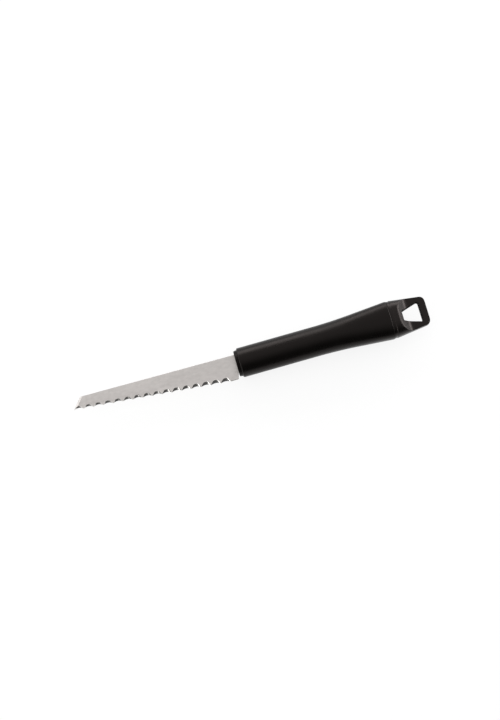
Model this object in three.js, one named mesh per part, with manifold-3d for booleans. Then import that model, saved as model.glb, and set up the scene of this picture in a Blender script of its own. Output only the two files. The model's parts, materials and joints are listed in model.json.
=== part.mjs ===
// Lemon knife: a scalloped steel blade held by a plug in a hollow handle with a hanging loop.
// Millimetres, +Z up. The knife lies on its side, as it does on a table: X runs from the blade's tip
// to the loop, +Y from the cutting edge to the spine, and the ground face of the blade looks up.
// Each piece is drawn with x = 0 at the front rim of the sleeve and the handle's axis on X.
import * as THREE from 'three';
import { mergeVertices } from 'three/addons/utils/BufferGeometryUtils.js';
import Module from 'manifold-3d';

const wasm = await Module();
wasm.setup();

// Blade, one flat stamping with its tang
const BLADE_THICKNESS = 1;
const BLADE_LENGTH = 101.35; // front face of the plug's ring to the tip
const SPINE_RISE_HEEL = 5.7; // spine above the handle's axis, at the ring
const SPINE_RISE_TIP = 6.62;
const TIP_EDGE_DROP = 0.3; // lowest point of the tip below the axis
const HEEL_EDGE_DROP = 9.22; // plain cutting edge below the axis, at the heel
const HEEL_EDGE_LENGTH = 4.8;
const HEEL_SETBACK = 1.15; // rear corner of the heel to the ring
const TIP_SLANT = 5.4; // run of the slanted tip, from its low point to the spine
const TIP_CORNER_RADIUS = 1.2;
const TIP_BEVEL_WIDTH = 1.2;
const TIP_EDGE_THICKNESS = 0.5;

// Scallops, ground from the upper face, deep and steep at the tip and shallower at the heel
const SCALLOP_COUNT = 16;
const SCALLOP_DEPTH_TIP = 1; // along the cutting edge, on the lower face
const SCALLOP_DEPTH_HEEL = 0.65;
const SCALLOP_GRIND_TIP = 2; // height of the ground hollow on the upper face
const SCALLOP_GRIND_HEEL = 2.5;
const TOOTH_FLAT = 0.1;

// Tang, inside the plug
const NECK_DROP = 5.1; // lower edge of the blade below the axis, where it enters the ring
const NECK_DEPTH = 3.75;
const TANG_WIDTH = 8;
const TANG_REACH = 36; // front face of the ring to the end of the tang
const TANG_END_RADIUS = 2.5;
const TANG_HOLE_DIAMETER = 4.4;
const TANG_HOLE_INSET = 6.5; // centre of the last hole to the end of the tang
const TANG_HOLE_SPACING = 14;

// Front plug, moulded round the tang
const RING_LENGTH = 1.45;
const RING_FRONT_DIAMETER = 15.7;
const RING_REAR_DIAMETER = 16.2;
const RING_EDGE_RADIUS = 0.5;
const PLUG_END_WALL = 3; // plastic past the end of the tang

// Sleeve, an open tube with a round waist that widens to a flat oval at the rear
const SLEEVE_LENGTH = 93.9;
const WAIST_DIAMETER = 18.1; // also the thickness of the flare
const FLARE_WIDTH = 23.3;
const FLARE_LENGTH = 46.9;
const FLARE_BLEND = 24; // length of the arc that leads from the waist into the flare
const FLARE_EXPONENT = 2.75; // of the oval at the rear rim, where 2 is an ellipse
const SLEEVE_WALL = 2.2;
const RIM_RADIUS = 0.8;

// End cap, an oval cone with a band, two scoops and a flat hanging loop
const CAP_LENGTH = 22.6;
const CAP_STEP = 0.1; // front edge of the cap below the sleeve's rear rim
const CAP_END_WIDTH = 17.9;
const CAP_END_RADIUS = 3;
const STRIP_WIDTH = 1; // shallow strip between the sleeve and the band
const STRIP_DEPTH = 0.2;
const BAND_WIDTH = 3.7;
const SCOOP_ANGLE = 47; // of the ramp down from the band's rear edge, to the loop's face
const SCOOP_RADIUS = 4; // between the ramp and the loop's face
const LOOP_THICKNESS = 5.2;
const LOOP_END_RIM = 4; // end of the cap to the hole
const HOLE_LENGTH = 11.5;
const HOLE_NARROW_WIDTH = 6;
const HOLE_WIDE_WIDTH = 12.7;
const HOLE_NARROW_RADIUS = 0.6;
const HOLE_WIDE_RADIUS = 1.1;
const SPIGOT_LENGTH = 12;
const SPIGOT_WALL = 2;
const CAP_WEB = 4; // solid plastic between the spigot's hollow and the hole

// Snap fits, one bead on the plug and one on the cap's spigot
const BEAD_HEIGHT = 0.5;
const BEAD_WIDTH = 1.8;
const PLUG_BEAD_SETBACK = 12; // bead to the sleeve's front rim
const CAP_BEAD_SETBACK = 6; // bead to the sleeve's rear rim

// Clearances
const FIT_GAP = 0.2; // all round a piece that sits in another
const SEAM_GAP = 0.3; // between the sleeve and the pieces that close its ends

// Facets
const ROUND_SIDES = 36;
const BLEND_STEPS = 8;
const CORNER_STEPS = 4;
const CUTTER_SIDES = 90;
const CUT_MARGIN = 1; // how far a cutter runs past the piece that it cuts
const FACE_MARGIN = 0.2; // how far a scallop's cutter runs past the blade's faces

// Places along the axis
const ringRear = -SEAM_GAP;
const ringFront = ringRear - RING_LENGTH;
const tipX = ringFront - BLADE_LENGTH;
const heelRear = ringFront - HEEL_SETBACK;
const heelFront = heelRear - HEEL_EDGE_LENGTH;
const neckEnd = ringFront + NECK_DEPTH;
const tangEnd = ringFront + TANG_REACH;
const plugEnd = tangEnd + FIT_GAP + PLUG_END_WALL;
const flareStart = SLEEVE_LENGTH - FLARE_LENGTH;
const fullGrowth = (FLARE_WIDTH - WAIST_DIAMETER) / 2;
const capFront = SLEEVE_LENGTH + SEAM_GAP;
const capEnd = capFront + CAP_LENGTH;
const capFrontRadius = FLARE_WIDTH / 2 - CAP_STEP;
const bandFront = capFront + STRIP_WIDTH;
const bandRear = bandFront + BAND_WIDTH;
const holeRear = capEnd - LOOP_END_RIM;
const holeFront = holeRear - HOLE_LENGTH;
const spigotFront = SLEEVE_LENGTH - SPIGOT_LENGTH;
const hollowEnd = holeFront - CAP_WEB;
const capBeadX = SLEEVE_LENGTH - CAP_BEAD_SETBACK;
const tangHoles = [tangEnd - TANG_HOLE_INSET - TANG_HOLE_SPACING, tangEnd - TANG_HOLE_INSET];

const steel = { color: 0xbdbbb6, roughness: 0.35, metalness: 1 };
const blackPlastic = { color: 0x17171a, roughness: 0.55, metalness: 0 };

// How far the flare stands out on each side: an arc that runs out into a straight slope, and
// behind the sleeve the same as at its rear rim.
function flareGrowth(x) {
  const slope = fullGrowth / (FLARE_LENGTH - FLARE_BLEND / 2);
  const run = THREE.MathUtils.clamp(x - flareStart, 0, FLARE_LENGTH);
  if (run < FLARE_BLEND) {
    return (slope * run * run) / (2 * FLARE_BLEND);
  }
  return slope * (run - FLARE_BLEND / 2);
}

// Half the width of the sleeve.
function sleeveRadius(x) {
  return WAIST_DIAMETER / 2 + flareGrowth(x);
}

function boreRadius(x) {
  return sleeveRadius(x) - SLEEVE_WALL;
}

// Half the width of a piece that sits in the sleeve's bore.
function fitRadius(x) {
  return boreRadius(x) - FIT_GAP;
}

// Half the width of the cap's cone.
function capRadius(x) {
  return THREE.MathUtils.mapLinear(x, capFront, capEnd, capFrontRadius, CAP_END_WIDTH / 2);
}

// Profile of a snap bead, or of its groove, that stands up from a turned surface.
function beadProfile(x, radiusAt, width) {
  const foot = width / 2;
  const crest = foot - BEAD_HEIGHT;
  return [
    [x - foot, radiusAt(x - foot)],
    [x - crest, radiusAt(x - crest) + BEAD_HEIGHT],
    [x + crest, radiusAt(x + crest) + BEAD_HEIGHT],
    [x + foot, radiusAt(x + foot)],
  ];
}

// Quarter-round corner of a profile, from one angle to another about its centre.
function cornerArc(x, radius, size, fromDegrees, toDegrees) {
  const from = THREE.MathUtils.degToRad(fromDegrees);
  const to = THREE.MathUtils.degToRad(toDegrees);
  return Array.from({ length: CORNER_STEPS + 1 }, (_, step) => {
    const angle = THREE.MathUtils.lerp(from, to, step / CORNER_STEPS);
    return [x + size * Math.cos(angle), radius + size * Math.sin(angle)];
  });
}

// Turns a profile of [x, radius] points about the X axis, with a flat of the polygon facing down.
function turned(profile) {
  const points = profile.map(([x, radius]) => new THREE.Vector2(radius, x));
  const geometry = new THREE.LatheGeometry(points, ROUND_SIDES, Math.PI / ROUND_SIDES);
  return geometry.rotateZ(-Math.PI / 2);
}

function signedPower(value, power) {
  return Math.sign(value) * Math.abs(value) ** power;
}

// Makes the rings of a turned geometry ovals: the flare adds width to a ring but no height, and the
// more it adds, the squarer the oval.
function flattened(geometry) {
  const points = geometry.attributes.position;
  for (let i = 0; i < points.count; i += 1) {
    const angle = Math.atan2(points.getZ(i), points.getY(i));
    const width = Math.hypot(points.getY(i), points.getZ(i));
    const growth = flareGrowth(points.getX(i));
    const height = Math.max(0, width - growth);
    const power = 2 / THREE.MathUtils.mapLinear(growth, 0, fullGrowth, 2, FLARE_EXPONENT);
    points.setY(i, width * signedPower(Math.cos(angle), power));
    points.setZ(i, height * signedPower(Math.sin(angle), power));
  }
  return geometry;
}

// Closed outline through [x, y, radius] corners, each rounded by an arc of its own radius.
function roundedOutline(corners, outline = new THREE.Shape()) {
  corners.forEach(([x, y, radius], i) => {
    const corner = new THREE.Vector2(x, y);
    const [xBefore, yBefore] = corners.at(i - 1);
    const [xAfter, yAfter] = corners[(i + 1) % corners.length];
    const back = new THREE.Vector2(xBefore, yBefore).sub(corner).normalize();
    const ahead = new THREE.Vector2(xAfter, yAfter).sub(corner).normalize();
    const half = back.angleTo(ahead) / 2;
    const start = corner.clone().addScaledVector(back, radius / Math.tan(half));
    if (i === 0) {
      outline.moveTo(start.x, start.y);
    } else {
      outline.lineTo(start.x, start.y);
    }
    if (radius > 0) {
      const middle = back.clone().add(ahead).normalize();
      const centre = corner.clone().addScaledVector(middle, radius / Math.sin(half));
      const clockwise = back.cross(ahead) > 0;
      const swing = (clockwise ? 1 : -1) * (Math.PI / 2 - half);
      const facing = middle.angle() + Math.PI;
      outline.absarc(centre.x, centre.y, radius, facing + swing, facing - swing, clockwise);
    }
  });
  outline.closePath();
  return outline;
}

function roundHole(x, radius) {
  return new THREE.Path().absarc(x, 0, radius, 0, 2 * Math.PI);
}

// Slab of an outline in the XY plane, centred on z = 0.
function slab(outline, thickness) {
  const options = { depth: thickness, bevelEnabled: false, curveSegments: CORNER_STEPS };
  return new THREE.ExtrudeGeometry(outline, options).translate(0, 0, -thickness / 2);
}

// Closed solid of a geometry, without the slivers that a lathe leaves on its axis.
function toSolid(geometry) {
  const bare = geometry.clone();
  bare.deleteAttribute('normal');
  bare.deleteAttribute('uv');
  const merged = mergeVertices(bare);
  const triangles = [];
  for (let i = 0; i < merged.index.count; i += 3) {
    const [a, b, c] = merged.index.array.slice(i, i + 3);
    if (a !== b && b !== c && c !== a) {
      triangles.push(a, b, c);
    }
  }
  return new wasm.Manifold(new wasm.Mesh({
    numProp: 3,
    vertProperties: merged.attributes.position.array,
    triVerts: Uint32Array.from(triangles),
  }));
}

function named(name, solid, finish) {
  const mesh = solid.getMesh();
  const geometry = new THREE.BufferGeometry();
  geometry.setAttribute('position', new THREE.BufferAttribute(mesh.vertProperties, 3));
  geometry.setIndex(new THREE.BufferAttribute(mesh.triVerts, 1));
  geometry.computeVertexNormals();
  const piece = new THREE.Mesh(geometry, new THREE.MeshStandardMaterial(finish));
  piece.name = name;
  return piece;
}

// Outline of the blade and its tang, before the scallops are ground.
function bladeOutline() {
  const halfTang = TANG_WIDTH / 2;
  const outline = roundedOutline([
    [tipX, -TIP_EDGE_DROP, 0],
    [heelFront, -HEEL_EDGE_DROP, 0],
    [heelRear, -HEEL_EDGE_DROP, 0],
    [ringFront, -NECK_DROP, 0],
    [neckEnd, -NECK_DROP, 0],
    [neckEnd, -halfTang, 0],
    [tangEnd, -halfTang, TANG_END_RADIUS],
    [tangEnd, halfTang, TANG_END_RADIUS],
    [neckEnd, halfTang, 0],
    [neckEnd, SPINE_RISE_HEEL, 0],
    [ringFront, SPINE_RISE_HEEL, 0],
    [tipX + TIP_SLANT, SPINE_RISE_TIP, TIP_CORNER_RADIUS],
  ]);
  outline.holes = tangHoles.map((x) => roundHole(x, TANG_HOLE_DIAMETER / 2));
  return outline;
}

// Radius of an arc over a chord.
function arcRadius(chord, rise) {
  return (chord * chord) / (8 * rise) + rise / 2;
}

// Leaning cone whose arcs on the blade's two faces share one chord, so that the ground hollow is
// tallest in its middle and runs out at the teeth. The chord lies on X, and the cut is above it.
function scallopCutter(chord, depth, grind) {
  const lower = arcRadius(chord, depth);
  const upper = arcRadius(chord, grind);
  const lowerCentre = depth - lower;
  const upperCentre = grind - upper;
  const past = (BLADE_THICKNESS + 2 * FACE_MARGIN) / BLADE_THICKNESS;
  const middle = (upper + lower) / 2;
  const spread = ((upper - lower) / 2) * past;
  const height = BLADE_THICKNESS * past;
  const lean = (upperCentre - lowerCentre) / BLADE_THICKNESS;
  const cone = new THREE.CylinderGeometry(middle + spread, middle - spread, height, CUTTER_SIDES);
  cone.rotateX(Math.PI / 2);
  cone.applyMatrix4(new THREE.Matrix4().makeShear(0, 0, 0, 0, 0, lean));
  return cone.translate(0, (upperCentre + lowerCentre) / 2, 0);
}

// Wedge that grinds the slanted tip from the upper face.
function tipBevelCutter() {
  const low = new THREE.Vector3(tipX, -TIP_EDGE_DROP, 0);
  const high = new THREE.Vector3(tipX + TIP_SLANT, SPINE_RISE_TIP, 0);
  const along = high.clone().sub(low).normalize();
  const up = new THREE.Vector3(0, 0, 1);
  const inward = new THREE.Vector3().crossVectors(along, up);
  const top = BLADE_THICKNESS / 2;
  const slope = (BLADE_THICKNESS - TIP_EDGE_THICKNESS) / TIP_BEVEL_WIDTH;
  const section = roundedOutline([
    [TIP_BEVEL_WIDTH, top, 0],
    [TIP_BEVEL_WIDTH, top + CUT_MARGIN, 0],
    [-CUT_MARGIN, top + CUT_MARGIN, 0],
    [-CUT_MARGIN, top - slope * (TIP_BEVEL_WIDTH + CUT_MARGIN), 0],
  ]);
  const length = low.distanceTo(high) + 2 * CUT_MARGIN;
  const wedge = slab(section, length);
  const placed = new THREE.Matrix4().makeBasis(inward, up, along.clone().negate());
  placed.setPosition(low.clone().add(high).multiplyScalar(0.5));
  return wedge.applyMatrix4(placed);
}

function blade() {
  const tip = new THREE.Vector2(tipX, -TIP_EDGE_DROP);
  const toHeel = new THREE.Vector2(heelFront, -HEEL_EDGE_DROP).sub(tip);
  const pitch = toHeel.length() / SCALLOP_COUNT;
  const slope = Math.atan2(toHeel.y, toHeel.x);
  let solid = toSolid(slab(bladeOutline(), BLADE_THICKNESS));
  for (let i = 0; i < SCALLOP_COUNT; i += 1) {
    const share = (i + 0.5) / SCALLOP_COUNT;
    const depth = THREE.MathUtils.lerp(SCALLOP_DEPTH_TIP, SCALLOP_DEPTH_HEEL, share);
    const grind = THREE.MathUtils.lerp(SCALLOP_GRIND_TIP, SCALLOP_GRIND_HEEL, share);
    const chordCentre = tip.clone().addScaledVector(toHeel, share);
    const cutter = scallopCutter(pitch - TOOTH_FLAT, depth, grind).rotateZ(slope);
    solid = solid.subtract(toSolid(cutter.translate(chordCentre.x, chordCentre.y, 0)));
  }
  solid = solid.subtract(toSolid(tipBevelCutter()));
  return named('blade', solid, steel);
}

// Room for the neck and tang in the plug, with a peg left standing in each hole of the tang.
function tangCavity() {
  const halfTang = TANG_WIDTH / 2 + FIT_GAP;
  const mouth = ringFront - CUT_MARGIN;
  const outline = roundedOutline([
    [mouth, -NECK_DROP - FIT_GAP, 0],
    [neckEnd + FIT_GAP, -NECK_DROP - FIT_GAP, 0],
    [neckEnd + FIT_GAP, -halfTang, 0],
    [tangEnd + FIT_GAP, -halfTang, TANG_END_RADIUS],
    [tangEnd + FIT_GAP, halfTang, TANG_END_RADIUS],
    [neckEnd + FIT_GAP, halfTang, 0],
    [neckEnd + FIT_GAP, SPINE_RISE_HEEL + FIT_GAP, 0],
    [mouth, SPINE_RISE_HEEL + FIT_GAP, 0],
  ]);
  outline.holes = tangHoles.map((x) => roundHole(x, TANG_HOLE_DIAMETER / 2 - FIT_GAP));
  return slab(outline, BLADE_THICKNESS + 2 * FIT_GAP);
}

function frontPlug() {
  const frontRadius = RING_FRONT_DIAMETER / 2;
  const profile = [
    [ringFront, 0],
    ...cornerArc(ringFront + RING_EDGE_RADIUS, frontRadius - RING_EDGE_RADIUS, RING_EDGE_RADIUS, 180, 90),
    [ringRear, RING_REAR_DIAMETER / 2],
    [ringRear, fitRadius(0)],
    ...beadProfile(PLUG_BEAD_SETBACK, fitRadius, BEAD_WIDTH),
    [plugEnd, fitRadius(plugEnd)],
    [plugEnd, 0],
  ];
  const solid = toSolid(turned(profile)).subtract(toSolid(tangCavity()));
  return named('front_plug', solid, blackPlastic);
}

function handleSleeve() {
  const blendPoints = Array.from({ length: BLEND_STEPS + 1 }, (_, step) => {
    return flareStart + (FLARE_BLEND * step) / BLEND_STEPS;
  });
  const rear = SLEEVE_LENGTH - RIM_RADIUS;
  const grooveWidth = BEAD_WIDTH + 2 * FIT_GAP;
  const profile = [
    [0, boreRadius(0)],
    ...cornerArc(RIM_RADIUS, sleeveRadius(0) - RIM_RADIUS, RIM_RADIUS, 180, 90),
    ...blendPoints.map((x) => [x, sleeveRadius(x)]),
    ...cornerArc(rear, sleeveRadius(rear) - RIM_RADIUS, RIM_RADIUS, 90, 0),
    [SLEEVE_LENGTH, boreRadius(SLEEVE_LENGTH)],
    ...beadProfile(capBeadX, boreRadius, grooveWidth).reverse(),
    ...blendPoints.map((x) => [x, boreRadius(x)]).reverse(),
    ...beadProfile(PLUG_BEAD_SETBACK, boreRadius, grooveWidth).reverse(),
    [0, boreRadius(0)],
  ];
  return named('handle_sleeve', toSolid(flattened(turned(profile))), blackPlastic);
}

// Cutter of one scoop: a ramp behind the band, rounded into the flat face of the loop.
function scoopCutter() {
  const face = LOOP_THICKNESS / 2;
  const bandTop = capRadius(bandRear) - fullGrowth;
  const runPerFall = 1 / Math.tan(THREE.MathUtils.degToRad(SCOOP_ANGLE));
  const section = roundedOutline([
    [bandRear + (bandTop - face) * runPerFall, face, SCOOP_RADIUS],
    [capEnd + CUT_MARGIN, face, 0],
    [capEnd + CUT_MARGIN, bandTop + CUT_MARGIN, 0],
    [bandRear - CUT_MARGIN * runPerFall, bandTop + CUT_MARGIN, 0],
  ]);
  return slab(section, 2 * (capFrontRadius + CUT_MARGIN)).rotateX(Math.PI / 2);
}

function hangingHole() {
  const narrow = HOLE_NARROW_WIDTH / 2;
  const wide = HOLE_WIDE_WIDTH / 2;
  const outline = roundedOutline([
    [holeFront, -narrow, HOLE_NARROW_RADIUS],
    [holeRear, -wide, HOLE_WIDE_RADIUS],
    [holeRear, wide, HOLE_WIDE_RADIUS],
    [holeFront, narrow, HOLE_NARROW_RADIUS],
  ]);
  return slab(outline, 2 * (capFrontRadius + CUT_MARGIN));
}

function endCap() {
  const hollowRadius = fitRadius(spigotFront) - SPIGOT_WALL;
  const endCorner = [capEnd - CAP_END_RADIUS, capRadius(capEnd) - CAP_END_RADIUS, CAP_END_RADIUS];
  const profile = [
    [hollowEnd, 0],
    [hollowEnd, hollowRadius],
    [spigotFront, hollowRadius],
    [spigotFront, fitRadius(spigotFront)],
    ...beadProfile(capBeadX, fitRadius, BEAD_WIDTH),
    [capFront, fitRadius(SLEEVE_LENGTH)],
    [capFront, capRadius(capFront) - STRIP_DEPTH],
    [bandFront, capRadius(bandFront) - STRIP_DEPTH],
    [bandFront, capRadius(bandFront)],
    ...cornerArc(...endCorner, 80, 0),
    [capEnd, 0],
  ];
  const upperScoop = toSolid(scoopCutter());
  const lowerScoop = toSolid(scoopCutter().rotateX(Math.PI));
  const solid = toSolid(flattened(turned(profile)))
    .subtract(upperScoop)
    .subtract(lowerScoop)
    .subtract(toSolid(hangingHole()));
  return named('end_cap', solid, blackPlastic);
}

// Lies on the straight underside of the sleeve, centred over the origin with its lowest point on z = 0.
function laidDown(pieces) {
  const knife = new THREE.Group();
  knife.add(...pieces);
  const box = new THREE.Box3().setFromObject(knife, true);
  const centre = box.getCenter(new THREE.Vector3());
  knife.position.set(-centre.x, -centre.y, -box.min.z);
  return knife;
}

export default laidDown([blade(), frontPlug(), handleSleeve(), endCap()]);
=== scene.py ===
"""Lemon knife: a scalloped satin steel blade in a black moulded handle with a hanging loop.

Pieces are modelled in millimetres in the knife's own axes, x = 0 at the sleeve's front rim, the
handle's axis on X, +Y to the spine and +Z out of the ground face, and are then laid in the frame.
"""
import json
from math import atan2, copysign, cos, hypot, pi, radians, sin, tan

import bmesh
import bpy
from mathutils import Matrix, Vector


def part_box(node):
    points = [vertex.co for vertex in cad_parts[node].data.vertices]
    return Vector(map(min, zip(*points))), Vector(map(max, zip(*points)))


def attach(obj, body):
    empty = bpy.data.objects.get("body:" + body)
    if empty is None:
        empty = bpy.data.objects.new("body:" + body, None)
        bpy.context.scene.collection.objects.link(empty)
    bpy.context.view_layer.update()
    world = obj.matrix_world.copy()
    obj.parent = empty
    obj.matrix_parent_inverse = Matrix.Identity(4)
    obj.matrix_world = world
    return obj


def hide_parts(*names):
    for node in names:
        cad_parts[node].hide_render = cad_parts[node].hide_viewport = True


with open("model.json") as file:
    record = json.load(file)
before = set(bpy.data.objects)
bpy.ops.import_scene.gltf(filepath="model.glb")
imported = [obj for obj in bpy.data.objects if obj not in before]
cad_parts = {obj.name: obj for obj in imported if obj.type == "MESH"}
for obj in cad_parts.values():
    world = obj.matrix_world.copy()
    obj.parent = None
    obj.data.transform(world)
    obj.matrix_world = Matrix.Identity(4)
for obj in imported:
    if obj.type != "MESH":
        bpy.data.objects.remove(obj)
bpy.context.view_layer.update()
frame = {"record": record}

MM = 0.001

# Blade
BLADE_THICKNESS = 1
TIP_X = -103.1
TIP_EDGE_Y = -0.3
TIP_SLANT = 5.4
TIP_CORNER_RADIUS = 1.2
TIP_BEVEL_WIDTH = 1.2
TIP_EDGE_THICKNESS = 0.5
SPINE_TIP_Y = 6.62
SPINE_HEEL_Y = 5.7
SPINE_LEAST_LENGTH = 50
SPINE_EASE = 0.12
HEEL_EDGE_Y = -9.22
HEEL_FRONT_X = -7.7
HEEL_REAR_X = -2.9
HEEL_EASE = 0.2
NECK_Y = -5.1
NECK_END_X = 2
SCALLOP_COUNT = 16
SCALLOP_DEPTH_TIP = 1
SCALLOP_DEPTH_HEEL = 0.65
SCALLOP_GRIND_TIP = 2
SCALLOP_GRIND_HEEL = 2.5
TOOTH_FLAT = 0.1
CUTTER_STEPS = 144
CUTTER_REACH = 1.3  # height of a scallop's cutter, in thicknesses of the blade
GROUND_STEEPEST = 0.15  # upward part of a ground face's normal
GROUND_FLATTEST = 0.97
GROUND_SPINEWARD = 0.1  # most that the normal leans to the spine, which leaves out the tip's bevel
GROUND_SHARP_ANGLE = radians(18)

# Front plug
RING_FRONT_X = -1.75
RING_REAR_X = 0.23
RING_FRONT_RADIUS = 7.85
RING_REAR_RADIUS = 8.1
RING_EDGE_RADIUS = 0.5
PLUG_END_X = 10
SLOT_GAP = 0.08

# Sleeve
SLEEVE_FRONT_X = 0.25
SLEEVE_LENGTH = 93.9
SLEEVE_WALL = 2.2
WAIST_RADIUS = 9.02
FLARE_HALF_WIDTH = 11.593
FLARE_GROWTH = FLARE_HALF_WIDTH - WAIST_RADIUS
FLARE_LENGTH = 46.9
FLARE_BLEND = 24
FLARE_EXPONENT = 2.75
FLARE_STEPS = 48
RIM_RADIUS = 0.8
REAR_RIM_RADIUS = 0.65
FIT_GAP = 0.2

# End cap
CAP_FRONT_X = 93.95
CAP_END_X = 116.8
CAP_FRONT_HALF_WIDTH = 11.58
CAP_END_HALF_WIDTH = 9.02
CAP_CORNER_RADIUS = 3
CAP_CORNER_START = 82  # degrees, where the cap's side runs into its rear corner
SPIGOT_X = 88
STRIP_END_X = 95.4
STRIP_DEPTH = 0.3
BAND_EDGE_RUN = 0.45
BAND_FACE_X = 96.4  # on the band, clear of its front edge
BAND_END_X = 98.9
SCOOP_ANGLE = radians(44)
SCOOP_RADIUS = 5
LOOP_THICKNESS = 5.2
HOLE_FRONT_X = 101.3
HOLE_REAR_X = 112.8
HOLE_NARROW_HALF = 3
HOLE_WIDE_HALF = 6.35
HOLE_NARROW_RADIUS = 0.6
HOLE_WIDE_RADIUS = 1.1
HOLE_MARGIN = 0.1
HOLE_WALL_TILT = 0.3  # most upward part of the normal of a wall of the hole
CAP_EDGE_EASE = 0.2
CREST_EASE = 0.85
CREST_STEPS = 4
CREST_LOWEST_Z = 7
CAP_MERGE = 0.1  # joins short edges of the cuts, so that the crest rounds evenly

# Round surfaces and cuts
TURN_STEPS = 128
CORNER_STEPS = 6
PLATE_CORNER_STEPS = 10
EASE_STEPS = 3
CUT_MARGIN = 1
CUT_MERGE = 0.002
TURN_MERGE = 0.0005
SAME_PLACE = 0.01
SHARP_ANGLE = radians(32)

# Finishes
STEEL_MOTTLE = 0.88  # darkest part of the steel's mottle, as a share of its colour
MOTTLE_STRETCH = (0.5, 1, 1)
BLACK_DARK = (0.0014, 0.0013, 0.0012, 1)
BLACK_LIGHT = (0.0024, 0.0022, 0.002, 1)
BLACK_GLINT = (1, 0.86, 0.82, 1)
BLACK_SMOOTHER = 0.04  # how far faint clouds move the roughness of the plastic
BLACK_ROUGHER = 0.06
MOULD_GRAIN_SCALE = 1800
NOISE_LOW = 0.3
NOISE_HIGH = 0.7
WHITE = (1, 1, 1, 1)

# View, in pixels of the 500 by 720 picture
PICTURE_HEIGHT = 720
FOCAL_PIXELS = 1000
MM_PER_PIXEL = 0.6
SENSOR = 36
VIEW_ROLL = radians(15.8)
VIEW_LEAN = radians(8.3)
AIM_X = 6.66
AIM_ACROSS = 0.06
NEAR_CLIP = 0.01

# Light
TENT_LEAN = radians(65)
TENT_BRIGHT = 0.97
TENT_DARK = 0.1
TENT_BRIGHT_FROM = 0.75  # along the tent's lean, from -1 to 1
TENT_DARK_UP_TO = -0.4
FLOOR_HALF_WIDTH = 6
FLOOR_GLOW = 0.86


def knife_axes():
    """Matrix from the knife's own axes, in millimetres, to the frame, in metres."""
    mounts = {mount["name"]: Vector(mount["pos_m"]) for mount in frame["record"]["mounts"]}
    middle = (mounts["loop_upper_face"] + mounts["loop_lower_face"]) / 2
    end_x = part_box("end_cap")[1][0]
    return Matrix.Translation((end_x - CAP_END_X * MM, middle.y, middle.z)) @ Matrix.Scale(MM, 4)


KNIFE = knife_axes()


# Shape helpers

def between(start, stop, share):
    """Value that lies a share of the way from start to stop."""
    return start + (stop - start) * share


def arc_radius(chord, rise):
    """Radius of an arc over a chord."""
    return chord * chord / (8 * rise) + rise / 2


def corner_arc(x, radius, size, start, stop):
    """Profile points of a rounded corner about (x, radius), from one angle to another in degrees."""
    angles = [radians(between(start, stop, step / CORNER_STEPS)) for step in range(CORNER_STEPS + 1)]
    return [(x + size * cos(angle), radius + size * sin(angle)) for angle in angles]


def turned(profile, closed=False):
    """Solid of revolution about X through (x, radius) points, which end on the axis or close up."""
    bm = bmesh.new()
    points = [bm.verts.new((x, 0, radius)) for x, radius in profile]
    lines = [bm.edges.new(pair) for pair in zip(points, points[1:])]
    if closed:
        lines.append(bm.edges.new((points[-1], points[0])))
    bmesh.ops.spin(bm, geom=points + lines, cent=(0, 0, 0), axis=(1, 0, 0), angle=2 * pi,
                   steps=TURN_STEPS, use_merge=True)
    bmesh.ops.remove_doubles(bm, verts=bm.verts, dist=TURN_MERGE)
    bmesh.ops.recalc_face_normals(bm, faces=bm.faces)
    return bm


def plate(corners, thickness, round_corners=()):
    """Flat plate centred on z = 0 from (x, y) corners, with (corner, tangent length) pairs rounded."""
    bm = bmesh.new()
    points = [bm.verts.new((x, y, -thickness / 2)) for x, y in corners]
    bm.faces.new(points)
    for corner, tangent in round_corners:
        bmesh.ops.bevel(bm, geom=[points[corner]], offset=tangent, affect="VERTICES",
                        segments=PLATE_CORNER_STEPS, profile=0.5, material=-1)
    raised = bmesh.ops.extrude_face_region(bm, geom=bm.faces[:])["geom"]
    lifted = [item for item in raised if isinstance(item, bmesh.types.BMVert)]
    bmesh.ops.translate(bm, verts=lifted, vec=(0, 0, thickness))
    bmesh.ops.recalc_face_normals(bm, faces=bm.faces)
    return bm


def linked(name, bm):
    """New object with the bmesh as its mesh."""
    mesh = bpy.data.meshes.new(name)
    bm.to_mesh(mesh)
    bm.free()
    piece = bpy.data.objects.new(name, mesh)
    bpy.context.scene.collection.objects.link(piece)
    return piece


def carved(body, cutters, merge=CUT_MERGE):
    """The body less every cutter, as a new bmesh without edges shorter than the merge distance."""
    blank = linked("blank", body)
    tools = [linked("tool", cutter) for cutter in cutters]
    for tool in tools:
        cut = blank.modifiers.new("cut", "BOOLEAN")
        cut.object = tool
        cut.operation = "DIFFERENCE"
        cut.solver = "EXACT"
    result = bmesh.new()
    result.from_object(blank, bpy.context.evaluated_depsgraph_get())
    for leftover in [blank, *tools]:
        bpy.data.objects.remove(leftover)
    bmesh.ops.remove_doubles(result, verts=result.verts, dist=merge)
    bmesh.ops.dissolve_degenerate(result, edges=result.edges, dist=merge)
    return result


def sharp_edges(bm):
    """Edges at which two faces meet at more than the sharp angle."""
    return [edge for edge in bm.edges if len(edge.link_faces) == 2 and edge.calc_face_angle() > SHARP_ANGLE]


def eased(bm, edges, width, steps=EASE_STEPS):
    """Rounds the edges by a small width, or chamfers them in one step."""
    bmesh.ops.bevel(bm, geom=edges, offset=width, affect="EDGES", segments=steps, profile=0.5,
                    material=-1, loop_slide=False)


def finished(name, bm, node, materials, sharp=SHARP_ANGLE):
    """Lays a piece in the frame, shades it, and puts it in the place of its CAD node."""
    bm.transform(KNIFE)
    piece = linked(name, bm)
    for material in materials:
        piece.data.materials.append(material)
    piece.data.shade_smooth()
    piece.data.set_sharp_from_angle(angle=sharp)
    smooth = piece.modifiers.new("flat faces stay flat", "WEIGHTED_NORMAL")
    smooth.keep_sharp = True
    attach(piece, "root")
    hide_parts(node)
    return piece


# Blade

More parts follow.
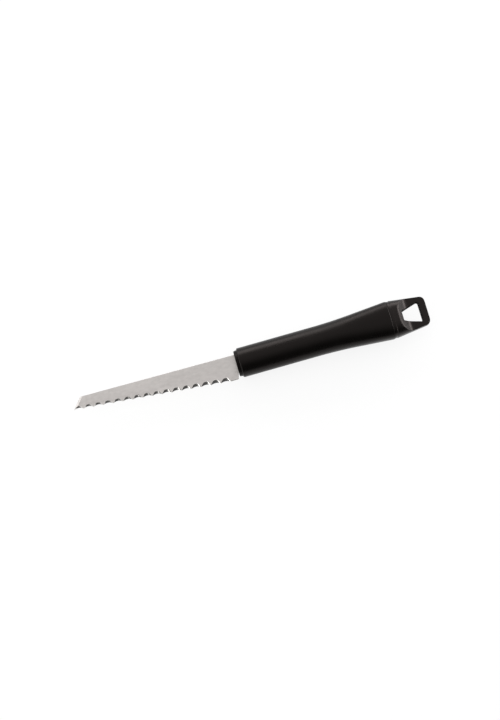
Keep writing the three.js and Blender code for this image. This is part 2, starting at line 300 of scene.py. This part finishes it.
def scallop_cutter(centre, slope, chord, depth, grind):
    """Leaning cone that grinds one scallop from the upper face."""
    lower = arc_radius(chord, depth)
    upper = arc_radius(chord, grind)
    lower_y = depth - lower
    upper_y = grind - upper
    lean = Matrix.Identity(4)
    lean[1][2] = (upper_y - lower_y) / BLADE_THICKNESS
    place = (Matrix.Translation((centre.x, centre.y, 0)) @ Matrix.Rotation(slope, 4, "Z")
             @ Matrix.Translation((0, (upper_y + lower_y) / 2, 0)) @ lean)
    middle = (upper + lower) / 2
    spread = (upper - lower) / 2 * CUTTER_REACH
    bm = bmesh.new()
    bmesh.ops.create_cone(bm, cap_ends=True, segments=CUTTER_STEPS, radius1=middle - spread,
                          radius2=middle + spread, depth=BLADE_THICKNESS * CUTTER_REACH, matrix=place)
    return bm


def scallop_cutters():
    """Cutters for the row of scallops, which change evenly from the tip to the heel."""
    tip = Vector((TIP_X, TIP_EDGE_Y))
    to_heel = Vector((HEEL_FRONT_X, HEEL_EDGE_Y)) - tip
    chord = to_heel.length / SCALLOP_COUNT - TOOTH_FLAT
    slope = atan2(to_heel.y, to_heel.x)
    cutters = []
    for i in range(SCALLOP_COUNT):
        share = (i + 0.5) / SCALLOP_COUNT
        depth = between(SCALLOP_DEPTH_TIP, SCALLOP_DEPTH_HEEL, share)
        grind = between(SCALLOP_GRIND_TIP, SCALLOP_GRIND_HEEL, share)
        cutters.append(scallop_cutter(tip + to_heel * share, slope, chord, depth, grind))
    return cutters


def bevel_tip(bm, tip_turn):
    """Grinds the bevel of the slanted tip into the upper face."""
    inward = Vector((sin(tip_turn), -cos(tip_turn), 0))
    bevel_line = Vector((TIP_X, TIP_EDGE_Y, BLADE_THICKNESS / 2)) + inward * TIP_BEVEL_WIDTH
    fall = BLADE_THICKNESS - TIP_EDGE_THICKNESS
    outward = Vector((0, 0, TIP_BEVEL_WIDTH)) - inward * fall
    cut = bmesh.ops.bisect_plane(bm, geom=bm.verts[:] + bm.edges[:] + bm.faces[:], plane_co=bevel_line,
                                 plane_no=outward, clear_outer=True)["geom_cut"]
    bmesh.ops.contextual_create(bm, geom=[item for item in cut if isinstance(item, bmesh.types.BMEdge)])
    bmesh.ops.recalc_face_normals(bm, faces=bm.faces)


def blade():
    corners = [
        (TIP_X, TIP_EDGE_Y),
        (HEEL_FRONT_X, HEEL_EDGE_Y),
        (HEEL_REAR_X, HEEL_EDGE_Y),
        (RING_FRONT_X, NECK_Y),
        (NECK_END_X, NECK_Y),
        (NECK_END_X, SPINE_HEEL_Y),
        (RING_FRONT_X, SPINE_HEEL_Y),
        (TIP_X + TIP_SLANT, SPINE_TIP_Y),
    ]
    tip_corner = len(corners) - 1
    tip_turn = atan2(SPINE_TIP_Y - TIP_EDGE_Y, TIP_SLANT)
    bm = plate(corners, BLADE_THICKNESS, [(tip_corner, TIP_CORNER_RADIUS * tan(tip_turn / 2))])
    spine = [edge for edge in sharp_edges(bm)
             if edge.calc_length() > SPINE_LEAST_LENGTH and all(vert.co.y > 0 for vert in edge.verts)]
    eased(bm, spine, SPINE_EASE)
    heel = [edge for edge in sharp_edges(bm)
            if all(abs(vert.co.y - HEEL_EDGE_Y) < SAME_PLACE and vert.co.z > 0 for vert in edge.verts)]
    eased(bm, heel, HEEL_EASE, steps=1)
    bevel_tip(bm, tip_turn)
    bm = carved(bm, scallop_cutters())
    bmesh.ops.recalc_face_normals(bm, faces=bm.faces)
    for face in bm.faces:
        tilted = GROUND_STEEPEST < face.normal.z < GROUND_FLATTEST
        if tilted and face.normal.y < GROUND_SPINEWARD:
            face.material_index = 1
    return finished("blade_steel", bm, "blade", [satin_steel(), ground_steel()],
                    sharp=GROUND_SHARP_ANGLE)


# Handle

def flare_growth(x):
    """How far the flare stands out on each side: an arc that runs out into a straight slope."""
    slope = FLARE_GROWTH / (FLARE_LENGTH - FLARE_BLEND / 2)
    run = min(max(0, x - (SLEEVE_LENGTH - FLARE_LENGTH)), FLARE_LENGTH)
    if run < FLARE_BLEND:
        return slope * run * run / (2 * FLARE_BLEND)
    return slope * (run - FLARE_BLEND / 2)


def flattened(bm):
    """Makes the rings of a turned solid ovals: the flare adds width but no height, and squares them."""
    for vert in bm.verts:
        growth = flare_growth(vert.co.x)
        width = hypot(vert.co.y, vert.co.z)
        height = max(0, width - growth)
        power = 2 / between(2, FLARE_EXPONENT, growth / FLARE_GROWTH)
        angle = atan2(vert.co.z, vert.co.y)
        vert.co.y = copysign(width * abs(cos(angle)) ** power, vert.co.y)
        vert.co.z = copysign(height * abs(sin(angle)) ** power, vert.co.z)
    return bm


def sleeve_radius(x):
    """Half the width of the sleeve."""
    return WAIST_RADIUS + flare_growth(x)


def cap_radius(x):
    """Half the width of the end cap."""
    share = (x - CAP_FRONT_X) / (CAP_END_X - CAP_FRONT_X)
    return between(CAP_FRONT_HALF_WIDTH, CAP_END_HALF_WIDTH, share)


def front_plug():
    spigot = WAIST_RADIUS - SLEEVE_WALL - FIT_GAP
    profile = [
        (RING_FRONT_X, 0),
        *corner_arc(RING_FRONT_X + RING_EDGE_RADIUS, RING_FRONT_RADIUS - RING_EDGE_RADIUS,
                    RING_EDGE_RADIUS, 180, 90),
        (RING_REAR_X, RING_REAR_RADIUS),
        (RING_REAR_X, spigot),
        (PLUG_END_X, spigot),
        (PLUG_END_X, 0),
    ]
    slot = plate([
        (RING_FRONT_X - CUT_MARGIN, NECK_Y - SLOT_GAP),
        (NECK_END_X + SLOT_GAP, NECK_Y - SLOT_GAP),
        (NECK_END_X + SLOT_GAP, SPINE_HEEL_Y + SLOT_GAP),
        (RING_FRONT_X - CUT_MARGIN, SPINE_HEEL_Y + SLOT_GAP),
    ], BLADE_THICKNESS + 2 * SLOT_GAP)
    return finished("front_plug_moulding", carved(turned(profile), [slot]), "front_plug",
                    [moulded_black("plug black", roughness=0.34, gloss=0.09)])


def handle_sleeve():
    start = SLEEVE_LENGTH - FLARE_LENGTH
    front = SLEEVE_FRONT_X + RIM_RADIUS
    rear = SLEEVE_LENGTH - REAR_RIM_RADIUS
    flare = [between(start, rear, step / FLARE_STEPS) for step in range(FLARE_STEPS)]
    profile = [
        (SLEEVE_FRONT_X, WAIST_RADIUS - SLEEVE_WALL),
        *corner_arc(front, WAIST_RADIUS - RIM_RADIUS, RIM_RADIUS, 180, 90),
        *[(x, sleeve_radius(x)) for x in flare],
        *corner_arc(rear, sleeve_radius(rear) - REAR_RIM_RADIUS, REAR_RIM_RADIUS, 90, 0),
        (SLEEVE_LENGTH, sleeve_radius(SLEEVE_LENGTH) - SLEEVE_WALL),
        *[(x, sleeve_radius(x) - SLEEVE_WALL) for x in reversed(flare)],
    ]
    return finished("handle_sleeve_moulding", flattened(turned(profile, closed=True)), "handle_sleeve",
                    [moulded_black("sleeve black", roughness=0.3, gloss=0.17)])


def scoop_cutter(side):
    """Ramp from the band, rounded into the loop's flat face, on the upper or lower side."""
    face = LOOP_THICKNESS / 2
    band_top = cap_radius(BAND_END_X) - FLARE_GROWTH
    run_per_fall = 1 / tan(SCOOP_ANGLE)
    corners = [
        (BAND_END_X + (band_top - face) * run_per_fall, face),
        (CAP_END_X + CUT_MARGIN, face),
        (CAP_END_X + CUT_MARGIN, band_top + CUT_MARGIN),
        (BAND_END_X - CUT_MARGIN * run_per_fall, band_top + CUT_MARGIN),
    ]
    width = 2 * (CAP_FRONT_HALF_WIDTH + CUT_MARGIN)
    bm = plate(corners, width, [(0, SCOOP_RADIUS * tan(SCOOP_ANGLE / 2))])
    bm.transform(Matrix.Rotation(side * pi / 2, 4, "X"))
    return bm


def hole_cutter():
    """Trapezoid prism, through the whole cap, with round corners."""
    flare = atan2(HOLE_WIDE_HALF - HOLE_NARROW_HALF, HOLE_REAR_X - HOLE_FRONT_X)
    narrow = HOLE_NARROW_RADIUS * tan((pi / 2 - flare) / 2)
    wide = HOLE_WIDE_RADIUS * tan((pi / 2 + flare) / 2)
    return plate([
        (HOLE_FRONT_X, -HOLE_NARROW_HALF),
        (HOLE_REAR_X, -HOLE_WIDE_HALF),
        (HOLE_REAR_X, HOLE_WIDE_HALF),
        (HOLE_FRONT_X, HOLE_NARROW_HALF),
    ], 4 * CAP_FRONT_HALF_WIDTH, [(0, narrow), (1, wide), (2, wide), (3, narrow)])


def rear_edges(bm):
    """Sharp edges of the end cap behind the front of its band."""
    return [edge for edge in sharp_edges(bm) if all(vert.co.x > BAND_FACE_X for vert in edge.verts)]


def is_hole_wall(face):
    """Whether a face of the end cap is a wall of the hanging hole."""
    middle = face.calc_center_median()
    along = HOLE_FRONT_X - HOLE_MARGIN < middle.x < HOLE_REAR_X + HOLE_MARGIN
    across = abs(middle.y) < HOLE_WIDE_HALF + HOLE_MARGIN
    return along and across and abs(face.normal.z) < HOLE_WALL_TILT


def end_cap():
    spigot = sleeve_radius(SPIGOT_X) - SLEEVE_WALL - FIT_GAP
    profile = [
        (SPIGOT_X, 0),
        (SPIGOT_X, spigot),
        (CAP_FRONT_X, spigot),
        (CAP_FRONT_X, cap_radius(CAP_FRONT_X) - STRIP_DEPTH),
        (STRIP_END_X, cap_radius(STRIP_END_X) - STRIP_DEPTH),
        (STRIP_END_X + BAND_EDGE_RUN, cap_radius(STRIP_END_X + BAND_EDGE_RUN)),
        *corner_arc(CAP_END_X - CAP_CORNER_RADIUS, cap_radius(CAP_END_X) - CAP_CORNER_RADIUS,
                    CAP_CORNER_RADIUS, CAP_CORNER_START, 0),
        (CAP_END_X, 0),
    ]
    bm = carved(flattened(turned(profile)), [scoop_cutter(1), scoop_cutter(-1), hole_cutter()], CAP_MERGE)
    crest_end = HOLE_FRONT_X - CAP_EDGE_EASE
    crest = [edge for edge in rear_edges(bm)
             if all(abs(vert.co.z) > CREST_LOWEST_Z and vert.co.x < crest_end for vert in edge.verts)]
    eased(bm, crest, CREST_EASE, steps=CREST_STEPS)
    eased(bm, rear_edges(bm), CAP_EDGE_EASE)
    for vert in bm.verts:
        vert.co.x = min(vert.co.x, CAP_END_X)
    # The walls of the hole get the same black with its reflection turned down and made rougher: painted
    # shade that keeps the hole's walls dark.
    for face in bm.faces:
        if is_hole_wall(face):
            face.material_index = 1
    return finished("end_cap_moulding", bm, "end_cap",
                    [moulded_black("cap black", roughness=0.28, gloss=0.25),
                     # painted shade: the cap's black with almost no reflection, for the walls of the hole
                     moulded_black("hole painted-shade black", roughness=0.8, gloss=0.03)])


# Materials

def node(tree, kind, **values):
    """New node of a tree, with its settings and the plain values of its inputs."""
    made = tree.nodes.new(kind)
    for name, value in values.items():
        if name in made.inputs:
            made.inputs[name].default_value = value
        else:
            setattr(made, name, value)
    return made


def new_material(name, **constants):
    """Material with one Principled BSDF and its constant sockets set."""
    material = bpy.data.materials.new(name)
    material.use_nodes = True
    shader = material.node_tree.nodes["Principled BSDF"]
    for socket, value in constants.items():
        shader.inputs[socket].default_value = value
    return material, material.node_tree, shader


def effect_group(name, inputs, outputs):
    """Empty shader node group with named float or vector sockets."""
    group = bpy.data.node_groups.new(name, "ShaderNodeTree")
    for socket in inputs:
        kind = "NodeSocketVector" if socket == "Vector" else "NodeSocketFloat"
        group.interface.new_socket(socket, in_out="INPUT", socket_type=kind)
    for socket in outputs:
        group.interface.new_socket(socket, in_out="OUTPUT", socket_type="NodeSocketFloat")
    return group, group.nodes.new("NodeGroupInput"), group.nodes.new("NodeGroupOutput")


def streak_group():
    """Fine streaks along X and a faint mottle drawn out along X, as left by a belt on rolled steel."""
    group, enter, leave = effect_group("belt streaks", ["Vector", "Across"], ["Streaks", "Cloud"])
    stretch = node(group, "ShaderNodeCombineXYZ", X=55)
    group.links.new(enter.outputs["Across"], stretch.inputs["Y"])
    group.links.new(enter.outputs["Across"], stretch.inputs["Z"])
    scaled = node(group, "ShaderNodeVectorMath", operation="MULTIPLY")
    group.links.new(enter.outputs["Vector"], scaled.inputs[0])
    group.links.new(stretch.outputs["Vector"], scaled.inputs[1])
    streaks = node(group, "ShaderNodeTexNoise", Scale=1, Detail=4, Roughness=0.65)
    group.links.new(scaled.outputs["Vector"], streaks.inputs["Vector"])
    drawn = node(group, "ShaderNodeVectorMath", operation="MULTIPLY")
    drawn.inputs[1].default_value = MOTTLE_STRETCH
    group.links.new(enter.outputs["Vector"], drawn.inputs[0])
    cloud = node(group, "ShaderNodeTexNoise", Scale=650, Detail=3, Roughness=0.6)
    group.links.new(drawn.outputs["Vector"], cloud.inputs["Vector"])
    group.links.new(streaks.outputs["Fac"], leave.inputs["Streaks"])
    group.links.new(cloud.outputs["Fac"], leave.inputs["Cloud"])
    return group


def spark_group():
    """Fine pebble grain of a spark-eroded mould, with faint handling cloudiness."""
    group, enter, leave = effect_group("mould grain", ["Vector", "Scale"], ["Pebble", "Cloud"])
    pebble = node(group, "ShaderNodeTexNoise", Detail=3, Roughness=0.6)
    group.links.new(enter.outputs["Vector"], pebble.inputs["Vector"])
    group.links.new(enter.outputs["Scale"], pebble.inputs["Scale"])
    cloud = node(group, "ShaderNodeTexNoise", Scale=90, Detail=3)
    group.links.new(enter.outputs["Vector"], cloud.inputs["Vector"])
    group.links.new(pebble.outputs["Fac"], leave.inputs["Pebble"])
    group.links.new(cloud.outputs["Fac"], leave.inputs["Cloud"])
    return group


BELT_STREAKS = streak_group()
MOULD_GRAIN = spark_group()


def ranged(tree, source, low, high):
    """Spreads a noise value over a range."""
    spread = node(tree, "ShaderNodeMapRange", **{"From Min": NOISE_LOW, "From Max": NOISE_HIGH,
                                                 "To Min": low, "To Max": high})
    tree.links.new(source, spread.inputs["Value"])
    return spread.outputs["Result"]


def steel(name, colour, roughness, turn, across, bump_strength):
    """Steel with fine streaks along one direction of the blade."""
    material, tree, shader = new_material(name, Metallic=1, Anisotropic=0.4)
    place = node(tree, "ShaderNodeTexCoord")
    turned_place = node(tree, "ShaderNodeMapping", Rotation=(0, 0, turn))
    tree.links.new(place.outputs["Object"], turned_place.inputs["Vector"])
    grain = node(tree, "ShaderNodeGroup", node_tree=BELT_STREAKS)
    grain.inputs["Across"].default_value = across
    tree.links.new(turned_place.outputs["Vector"], grain.inputs["Vector"])
    tree.links.new(ranged(tree, grain.outputs["Streaks"], *roughness), shader.inputs["Roughness"])
    tint = node(tree, "ShaderNodeMix", data_type="RGBA")
    tint.inputs["A"].default_value = (*[value * STEEL_MOTTLE for value in colour], 1)
    tint.inputs["B"].default_value = (*colour, 1)
    tree.links.new(ranged(tree, grain.outputs["Cloud"], 0, 1), tint.inputs["Factor"])
    tree.links.new(tint.outputs["Result"], shader.inputs["Base Color"])
    bump = node(tree, "ShaderNodeBump", Strength=bump_strength, Distance=0.00002)
    tree.links.new(grain.outputs["Streaks"], bump.inputs["Height"])
    tree.links.new(bump.outputs["Normal"], shader.inputs["Normal"])
    return material


def satin_steel():
    return steel("satin steel", colour=(0.63, 0.597, 0.577), roughness=(0.3, 0.44), turn=0,
                 across=5500, bump_strength=0.35)


def ground_steel():
    return steel("ground steel", colour=(0.66, 0.64, 0.62), roughness=(0.16, 0.24), turn=pi / 2,
                 across=4000, bump_strength=0.06)


def moulded_black(name, roughness, gloss):
    """Black moulding with a fine mould grain."""
    material, tree, shader = new_material(name, **{"Specular IOR Level": gloss,
                                                   "Specular Tint": BLACK_GLINT})
    place = node(tree, "ShaderNodeTexCoord")
    grain = node(tree, "ShaderNodeGroup", node_tree=MOULD_GRAIN)
    grain.inputs["Scale"].default_value = MOULD_GRAIN_SCALE
    tree.links.new(place.outputs["Object"], grain.inputs["Vector"])
    clouded = ranged(tree, grain.outputs["Cloud"], roughness - BLACK_SMOOTHER, roughness + BLACK_ROUGHER)
    tree.links.new(clouded, shader.inputs["Roughness"])
    tint = node(tree, "ShaderNodeMix", data_type="RGBA")
    tint.inputs["A"].default_value = BLACK_DARK
    tint.inputs["B"].default_value = BLACK_LIGHT
    tree.links.new(ranged(tree, grain.outputs["Pebble"], 0, 1), tint.inputs["Factor"])
    tree.links.new(tint.outputs["Result"], shader.inputs["Base Color"])
    bump = node(tree, "ShaderNodeBump", Strength=0.6, Distance=0.00004)
    tree.links.new(grain.outputs["Pebble"], bump.inputs["Height"])
    tree.links.new(bump.outputs["Normal"], shader.inputs["Normal"])
    return material


# Stage

def floor():
    """White floor that glows to the eye and in reflections, so that the knife's shadow stays light."""
    bm = bmesh.new()
    bmesh.ops.create_grid(bm, x_segments=1, y_segments=1, size=FLOOR_HALF_WIDTH)
    piece = linked("floor", bm)
    material, tree, shader = new_material("pale floor", Roughness=0.9)
    shader.inputs["Base Color"].default_value = WHITE
    ray = node(tree, "ShaderNodeLightPath")
    seen = node(tree, "ShaderNodeMath", operation="ADD")
    tree.links.new(ray.outputs["Is Camera Ray"], seen.inputs[0])
    tree.links.new(ray.outputs["Is Glossy Ray"], seen.inputs[1])
    shown = node(tree, "ShaderNodeMath", operation="ADD")
    tree.links.new(seen.outputs["Value"], shown.inputs[0])
    tree.links.new(ray.outputs["Is Transmission Ray"], shown.inputs[1])
    share = node(tree, "ShaderNodeMath", operation="MULTIPLY")
    share.inputs[1].default_value = FLOOR_GLOW
    tree.links.new(shown.outputs["Value"], share.inputs[0])
    glow = node(tree, "ShaderNodeEmission", Color=WHITE, Strength=1)
    both = node(tree, "ShaderNodeMixShader")
    tree.links.new(share.outputs["Value"], both.inputs["Fac"])
    tree.links.new(shader.outputs["BSDF"], both.inputs[1])
    tree.links.new(glow.outputs["Emission"], both.inputs[2])
    tree.links.new(both.outputs["Shader"], tree.nodes["Material Output"].inputs["Surface"])
    piece.data.materials.append(material)


def studio_sky():
    """Soft light tent: bright overhead and behind the knife, dark low in front of it."""
    world = bpy.data.worlds.new("light tent")
    bpy.context.scene.world = world
    world.use_nodes = True
    tree = world.node_tree
    background = tree.nodes["Background"]
    place = node(tree, "ShaderNodeTexCoord")
    toward = node(tree, "ShaderNodeVectorMath", operation="DOT_PRODUCT")
    toward.inputs[1].default_value = (0, sin(TENT_LEAN), cos(TENT_LEAN))
    tree.links.new(place.outputs["Generated"], toward.inputs[0])
    ramp = node(tree, "ShaderNodeMapRange", interpolation_type="SMOOTHSTEP",
                **{"From Min": TENT_DARK_UP_TO, "From Max": TENT_BRIGHT_FROM,
                   "To Min": TENT_DARK, "To Max": TENT_BRIGHT})
    tree.links.new(toward.outputs["Value"], ramp.inputs["Value"])
    tree.links.new(ramp.outputs["Result"], background.inputs["Strength"])
    background.inputs["Color"].default_value = WHITE


def softbox(name, place, size, power):
    """Rectangular lamp that looks at the middle of the knife."""
    light = bpy.data.lights.new(name, "AREA")
    light.shape = "RECTANGLE"
    light.size, light.size_y = size
    light.energy = power
    holder = bpy.data.objects.new(name, light)
    holder.location = place
    holder.rotation_euler = (-Vector(place)).to_track_quat("-Z", "Y").to_euler()
    bpy.context.scene.collection.objects.link(holder)


def camera():
    """Looks down on the knife, leaning to the cutting edge, with the knife rolled in the picture."""
    along = Vector((1, 0, 0))
    rise = Vector((0, cos(VIEW_LEAN), sin(VIEW_LEAN)))
    toward = Vector((0, -sin(VIEW_LEAN), cos(VIEW_LEAN)))
    right = along * cos(VIEW_ROLL) - rise * sin(VIEW_ROLL)
    up = along * sin(VIEW_ROLL) + rise * cos(VIEW_ROLL)
    aim = KNIFE @ Vector((AIM_X, 0, 0)) + rise * AIM_ACROSS * MM
    lens = bpy.data.cameras.new("camera")
    lens.sensor_width = SENSOR
    lens.lens = FOCAL_PIXELS / PICTURE_HEIGHT * SENSOR
    lens.clip_start = NEAR_CLIP
    holder = bpy.data.objects.new("camera", lens)
    turn = Matrix((right, up, toward)).transposed().to_4x4()
    holder.matrix_world = Matrix.Translation(aim + toward * FOCAL_PIXELS * MM_PER_PIXEL * MM) @ turn
    bpy.context.scene.collection.objects.link(holder)
    bpy.context.scene.camera = holder


bpy.context.scene.view_settings.view_transform = "Standard"
camera()
floor()
studio_sky()
softbox("left softbox", place=(-0.75, -0.1, 0.3), size=(0.6, 0.35), power=2.2)
softbox("right softbox", place=(0.7, 0.14, 0.18), size=(0.6, 0.36), power=4.2)
softbox("back softbox", place=(0, 0.75, 0.22), size=(1.6, 0.4), power=6.5)
softbox("front softbox", place=(-0.49, -0.56, 0.37), size=(0.28, 0.2), power=0.8)

blade()
front_plug()
handle_sleeve()
end_cap()
